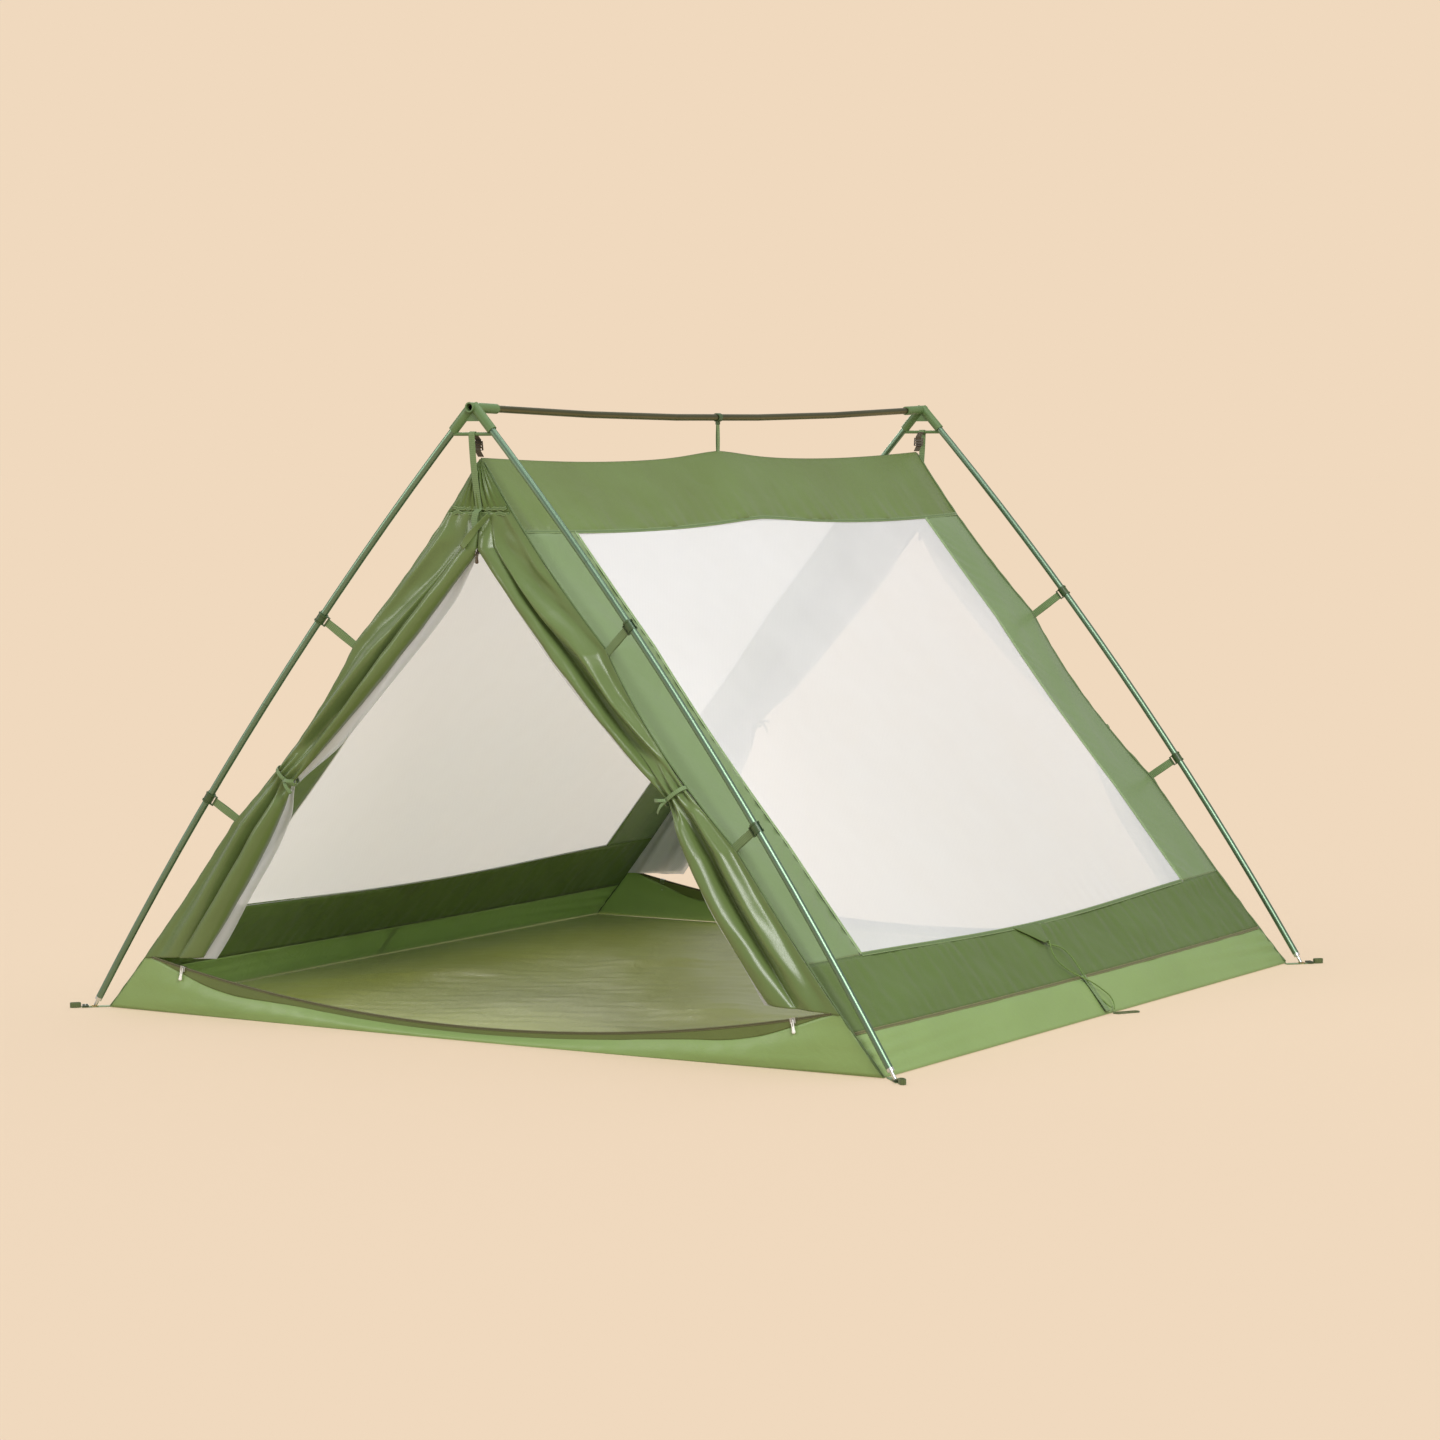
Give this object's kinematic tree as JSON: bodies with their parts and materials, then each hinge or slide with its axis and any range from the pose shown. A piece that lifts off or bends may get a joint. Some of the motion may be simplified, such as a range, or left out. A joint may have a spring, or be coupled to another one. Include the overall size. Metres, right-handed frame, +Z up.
{
  "type": "a-frame tent",
  "caption": "Free-standing A-frame camping tent on bowed sectioned poles, with a tub floor, mesh side windows and tied-back door leaves at both ends.",
  "frame": {"origin": "centre of the floor, on the ground", "axes": "+Z up, Y along the ridge with the front doorway at -Y, +X to the right seen from the front"},
  "size_m": [2.2248, 2.2008, 1.4062],
  "materials": {
    "hub_plastic": "moulded, fine grain",
    "ridge_tube": "anodised dark bronze",
    "leg_tube": "anodised green",
    "ferrule": "mill finish",
    "shock_cord": "braided elastic",
    "tip": "turned",
    "clip_plastic": "moulded",
    "webbing": "woven tape",
    "door_cloth": "coated polyester, satin",
    "mesh": "fine insect mesh",
    "zip_metal": "die-cast, satin",
    "pull_plastic": "moulded",
    "buckle_plastic": "moulded",
    "ridge_cloth": "coated polyester, satin",
    "band_cloth": "coated polyester, satin",
    "strip_cloth": "coated polyester, satin",
    "floor_cloth": "coated polyester, gloss inside",
    "tub_cloth": "coated polyester, satin",
    "sill_cloth": "coil zip tape on folded cloth",
    "brass": "pressed",
    "guy_cord": "braided cord"
  },
  "bodies": {
    "tent": {"hub_front": "hub_plastic", "hub_rear": "hub_plastic", "ridge_pole": "ridge_tube", "leg_pole_front_left": "leg_tube", "leg_pole_front_right": "leg_tube", "leg_pole_rear_left": "leg_tube", "leg_pole_rear_right": "leg_tube", "pole_ferrules": "ferrule", "shock_cords": "shock_cord", "leg_tips": "tip", "leg_clips": "clip_plastic", "clip_tabs": "webbing", "ridge_clip": "clip_plastic", "ridge_strap": "webbing", "apex_straps": "webbing", "apex_buckles": "buckle_plastic", "ridge_band": "ridge_cloth", "window_left": "mesh", "window_right": "mesh", "lower_band_left": "band_cloth", "lower_band_right": "band_cloth", "wall_strips": "strip_cloth", "gusset_front": "strip_cloth", "gusset_rear": "strip_cloth", "floor": "floor_cloth", "tub_walls": "tub_cloth", "sill_front": "sill_cloth", "sill_rear": "sill_cloth", "apex_sliders": "zip_metal", "door_leaves_front": "door_cloth", "door_leaves_rear": "door_cloth", "mesh_leaves_front": "mesh", "mesh_leaves_rear": "mesh", "door_ties": "webbing", "corner_straps": "webbing", "corner_grommets": "brass", "corner_buckles": "buckle_plastic", "stake_loops": "webbing", "side_guy_tabs": "webbing", "side_cord_left": "guy_cord", "side_cord_right": "guy_cord", "side_stake_loops": "webbing"},
    "skirt_front_left": {"leaf_skirt_front_left": "door_cloth", "mesh_skirt_front_left": "mesh"},
    "slider_front_left": {"zip_slider_front_left": "zip_metal"},
    "pull_front_left": {"zip_pull_front_left": "pull_plastic"},
    "skirt_front_right": {"leaf_skirt_front_right": "door_cloth", "mesh_skirt_front_right": "mesh"},
    "slider_front_right": {"zip_slider_front_right": "zip_metal"},
    "pull_front_right": {"zip_pull_front_right": "pull_plastic"},
    "skirt_rear_left": {"leaf_skirt_rear_left": "door_cloth", "mesh_skirt_rear_left": "mesh"},
    "slider_rear_left": {"zip_slider_rear_left": "zip_metal"},
    "pull_rear_left": {"zip_pull_rear_left": "pull_plastic"},
    "skirt_rear_right": {"leaf_skirt_rear_right": "door_cloth", "mesh_skirt_rear_right": "mesh"},
    "slider_rear_right": {"zip_slider_rear_right": "zip_metal"},
    "pull_rear_right": {"zip_pull_rear_right": "pull_plastic"},
    "apex_pull_front": {"apex_pull_front": "pull_plastic"},
    "apex_pull_rear": {"apex_pull_rear": "pull_plastic"}
  },
  "joints": [
    {"name": "skirt_front_left_swing", "type": "hinge", "parent": "tent", "child": "skirt_front_left", "pos_m": [-0.57215, -1.02488, 0.57465], "axis": [-0.627, -0.0273, -0.7785], "range_deg": [-35, 60]},
    {"name": "slider_front_left_run", "type": "hinge", "parent": "tent", "child": "slider_front_left", "pos_m": [0, -0.89372, 4.31985], "axis": [0, -0.9994, 0.035], "range_deg": [0, 10.7]},
    {"name": "pull_front_left_flip", "type": "hinge", "parent": "slider_front_left", "child": "pull_front_left", "pos_m": [-0.81538, -1.04848, 0.1063], "axis": [-0.9818, 0.0066, 0.1897], "range_deg": [0, 110]},
    {"name": "skirt_front_right_swing", "type": "hinge", "parent": "tent", "child": "skirt_front_right", "pos_m": [0.57215, -1.02488, 0.57465], "axis": [-0.627, 0.0273, 0.7785], "range_deg": [-35, 60]},
    {"name": "slider_front_right_run", "type": "hinge", "parent": "tent", "child": "slider_front_right", "pos_m": [0, -0.89372, 4.31985], "axis": [0, 0.9994, -0.035], "range_deg": [0, 10.7]},
    {"name": "pull_front_right_flip", "type": "hinge", "parent": "slider_front_right", "child": "pull_front_right", "pos_m": [0.81538, -1.04848, 0.1063], "axis": [-0.9818, -0.0066, -0.1897], "range_deg": [0, 110]},
    {"name": "skirt_rear_left_swing", "type": "hinge", "parent": "tent", "child": "skirt_rear_left", "pos_m": [-0.57215, 1.02488, 0.57465], "axis": [0.627, -0.0273, 0.7785], "range_deg": [-35, 60]},
    {"name": "slider_rear_left_run", "type": "hinge", "parent": "tent", "child": "slider_rear_left", "pos_m": [0, 0.89372, 4.31985], "axis": [0, -0.9994, -0.035], "range_deg": [0, 10.7]},
    {"name": "pull_rear_left_flip", "type": "hinge", "parent": "slider_rear_left", "child": "pull_rear_left", "pos_m": [-0.81538, 1.04848, 0.1063], "axis": [0.9818, 0.0066, -0.1897], "range_deg": [0, 110]},
    {"name": "skirt_rear_right_swing", "type": "hinge", "parent": "tent", "child": "skirt_rear_right", "pos_m": [0.57215, 1.02488, 0.57465], "axis": [0.627, 0.0273, -0.7785], "range_deg": [-35, 60]},
    {"name": "slider_rear_right_run", "type": "hinge", "parent": "tent", "child": "slider_rear_right", "pos_m": [0, 0.89372, 4.31985], "axis": [0, 0.9994, 0.035], "range_deg": [0, 10.7]},
    {"name": "pull_rear_right_flip", "type": "hinge", "parent": "slider_rear_right", "child": "pull_rear_right", "pos_m": [0.81538, 1.04848, 0.1063], "axis": [0.9818, -0.0066, 0.1897], "range_deg": [0, 110]},
    {"name": "apex_pull_front_flip", "type": "hinge", "parent": "tent", "child": "apex_pull_front", "pos_m": [0, -1.01866, 1.08074], "axis": [-1, 0, 0], "range_deg": [0, 110]},
    {"name": "apex_pull_rear_flip", "type": "hinge", "parent": "tent", "child": "apex_pull_rear", "pos_m": [0, 1.01866, 1.08074], "axis": [1, 0, 0], "range_deg": [0, 110]}
  ]
}
